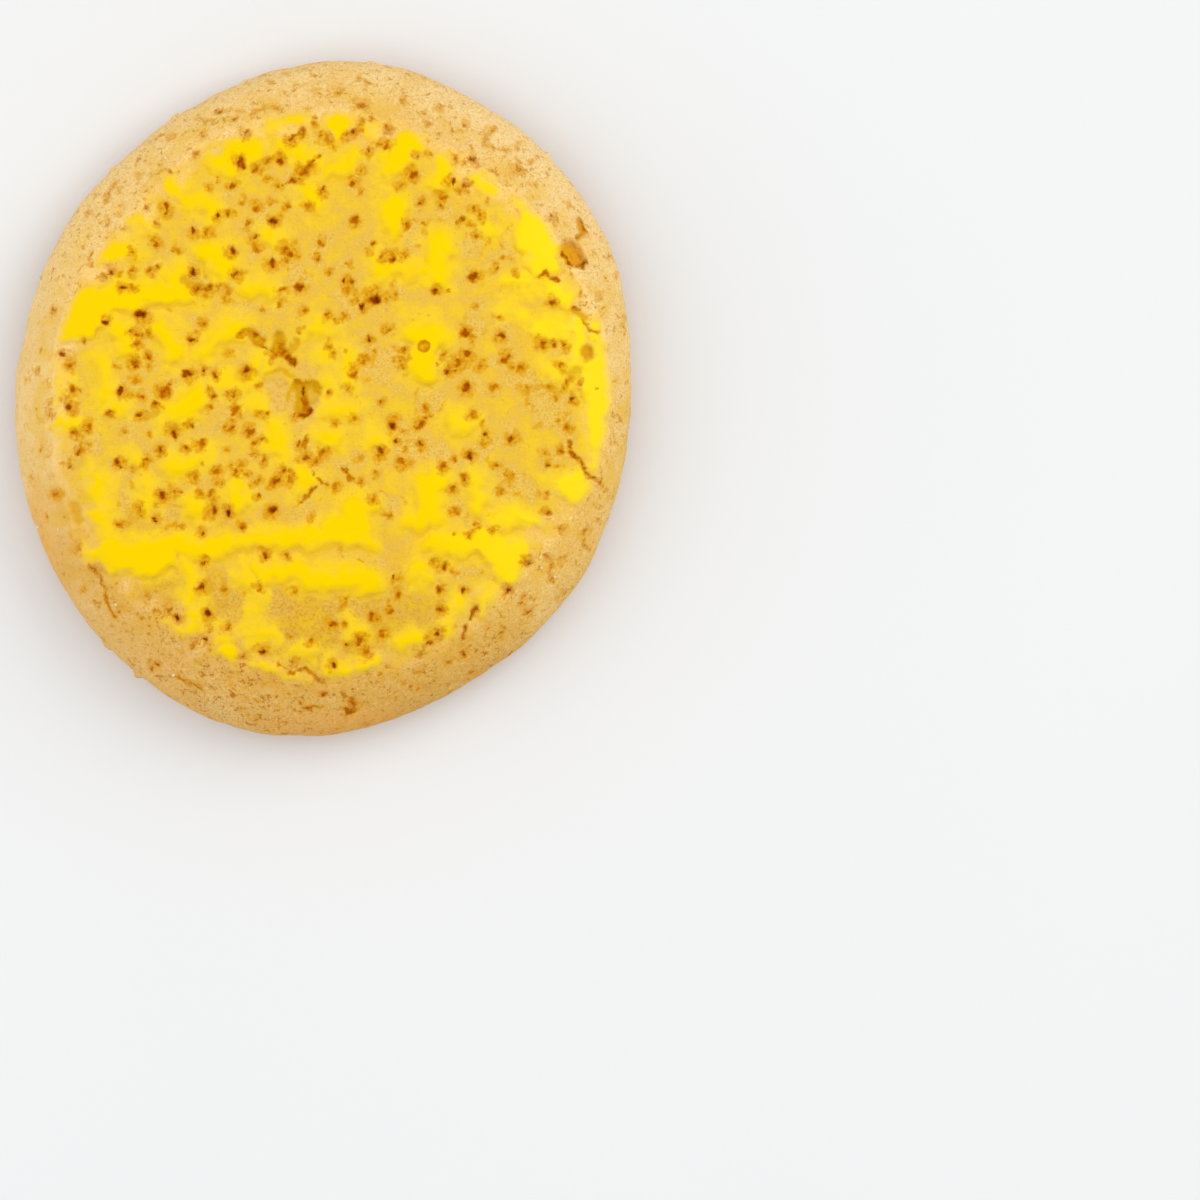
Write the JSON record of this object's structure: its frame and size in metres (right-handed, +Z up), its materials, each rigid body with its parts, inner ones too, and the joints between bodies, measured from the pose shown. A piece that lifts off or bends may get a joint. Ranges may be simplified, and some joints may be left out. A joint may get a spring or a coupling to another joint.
{
  "type": "iced sugar cookie",
  "caption": "Round, thick sugar cookie with a domed, pitted top and a lacy sheet of yellow icing that leaves its rim bare.",
  "frame": {"origin": "middle of the flat base on the surface that it rests on, under the centre of the bounding box", "axes": "+Z up out of the iced top; +Y along the longer width, towards the top of the picture; +X to the right in the picture"},
  "size_m": [0.0656, 0.0716, 0.0149],
  "materials": {
    "crumb": "dry baked crumb, fine cracks and open bubbles, browned underneath",
    "icing": "soft satin sugar glaze, thicker and brighter in runs"
  },
  "bodies": {
    "root": {"biscuit": "crumb", "icing": "icing"}
  },
  "joints": []
}
